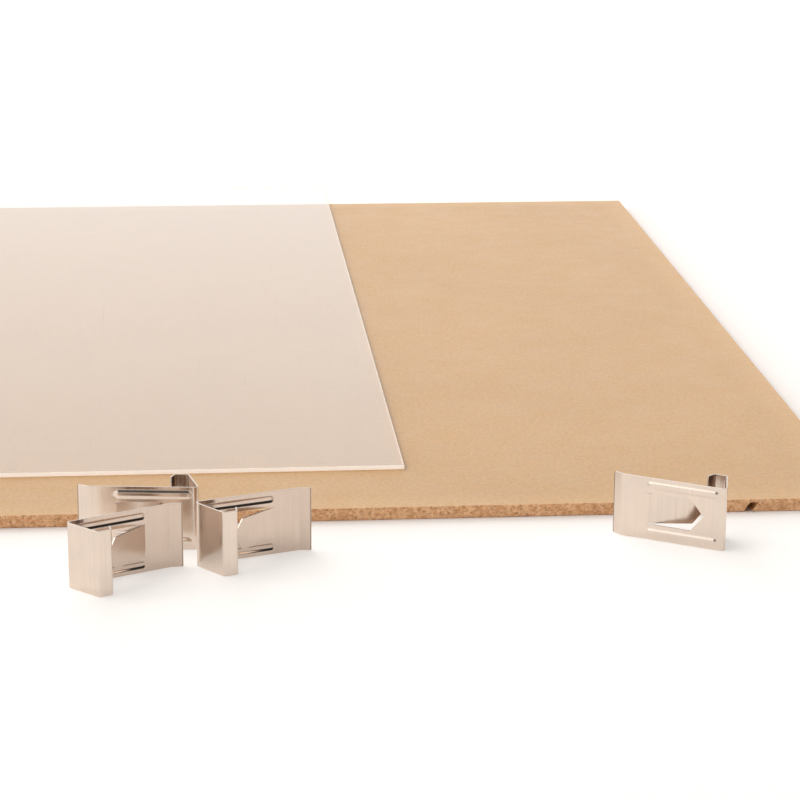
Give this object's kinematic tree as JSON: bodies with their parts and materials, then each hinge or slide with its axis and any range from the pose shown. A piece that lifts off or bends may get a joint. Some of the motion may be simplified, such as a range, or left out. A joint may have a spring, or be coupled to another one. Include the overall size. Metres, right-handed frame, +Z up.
{
  "type": "clip frame",
  "caption": "Frameless picture holder laid out in pieces: fibreboard back, clear pane and sprung metal edge clips with arrow tongues.",
  "frame": {"origin": "middle of the board's underside, which is the back of the frame", "axes": "+X to the right along the board's front edge, +Y back from that edge, +Z up"},
  "size_m": [0.3884, 0.4268, 0.015],
  "materials": {
    "fibreboard": "matt, pressed fibre",
    "clear_plastic": "clear, glossy",
    "nickel_plate": "bright nickel plate"
  },
  "bodies": {
    "board": {"backing_board": "fibreboard"},
    "pane": {"clear_pane": "clear_plastic"},
    "front_clip_plate": {"front_clip_plate": "nickel_plate"},
    "front_clip_hook": {"front_clip_hook": "nickel_plate"},
    "front_clip_tongue": {"front_clip_tongue": "nickel_plate"},
    "middle_clip_plate": {"middle_clip_plate": "nickel_plate"},
    "middle_clip_hook": {"middle_clip_hook": "nickel_plate"},
    "middle_clip_tongue": {"middle_clip_tongue": "nickel_plate"},
    "rear_clip_plate": {"rear_clip_plate": "nickel_plate"},
    "rear_clip_hook": {"rear_clip_hook": "nickel_plate"},
    "rear_clip_tongue": {"rear_clip_tongue": "nickel_plate"},
    "right_clip_plate": {"right_clip_plate": "nickel_plate"},
    "right_clip_hook": {"right_clip_hook": "nickel_plate"},
    "right_clip_tongue": {"right_clip_tongue": "nickel_plate"}
  },
  "joints": [
    {"name": "pane_slide", "type": "slide", "parent": "board", "child": "pane", "axis": [0.9656, -0.2601, 0], "range_m": [0, 0.11226]},
    {"name": "front_clip_lift", "type": "slide", "parent": "board", "child": "front_clip_plate", "axis": [0, 0, 1], "range_m": [0, 0.06]},
    {"name": "front_clip_hook_spring", "type": "hinge", "parent": "front_clip_plate", "child": "front_clip_hook", "pos_m": [-0.04773, -0.2147, 0], "axis": [0, 0, -1], "range_deg": [0, 15], "stiffness_Nm_per_rad": 4.5},
    {"name": "front_clip_tongue_spring", "type": "hinge", "parent": "front_clip_plate", "child": "front_clip_tongue", "pos_m": [-0.03176, -0.20684, 0], "axis": [0, 0, -1], "range_deg": [0, 26], "stiffness_Nm_per_rad": 1.8},
    {"name": "middle_clip_lift", "type": "slide", "parent": "board", "child": "middle_clip_plate", "axis": [0, 0, 1], "range_m": [0, 0.06]},
    {"name": "middle_clip_hook_spring", "type": "hinge", "parent": "middle_clip_plate", "child": "middle_clip_hook", "pos_m": [-0.01949, -0.20286, 0], "axis": [0, 0, -1], "range_deg": [0, 15], "stiffness_Nm_per_rad": 4.5},
    {"name": "middle_clip_tongue_spring", "type": "hinge", "parent": "middle_clip_plate", "child": "middle_clip_tongue", "pos_m": [-0.00274, -0.19686, 0], "axis": [0, 0, -1], "range_deg": [0, 26], "stiffness_Nm_per_rad": 1.8},
    {"name": "rear_clip_lift", "type": "slide", "parent": "board", "child": "rear_clip_plate", "axis": [0, 0, 1], "range_m": [0, 0.06]},
    {"name": "rear_clip_hook_spring", "type": "hinge", "parent": "rear_clip_plate", "child": "rear_clip_hook", "pos_m": [-0.02099, -0.19322, 0], "axis": [0, 0, -1], "range_deg": [0, 15], "stiffness_Nm_per_rad": 4.5},
    {"name": "rear_clip_tongue_spring", "type": "hinge", "parent": "rear_clip_plate", "child": "rear_clip_tongue", "pos_m": [-0.03868, -0.19127, 0], "axis": [0, 0, -1], "range_deg": [0, 26], "stiffness_Nm_per_rad": 1.8},
    {"name": "right_clip_lift", "type": "slide", "parent": "board", "child": "right_clip_plate", "axis": [0, 0, 1], "range_m": [0, 0.06]},
    {"name": "right_clip_hook_spring", "type": "hinge", "parent": "right_clip_plate", "child": "right_clip_hook", "pos_m": [0.09893, -0.20226, 0], "axis": [0, 0, -1], "range_deg": [0, 15], "stiffness_Nm_per_rad": 4.5},
    {"name": "right_clip_tongue_spring", "type": "hinge", "parent": "right_clip_plate", "child": "right_clip_tongue", "pos_m": [0.08376, -0.19296, 0], "axis": [0, 0, -1], "range_deg": [0, 26], "stiffness_Nm_per_rad": 1.8}
  ]
}
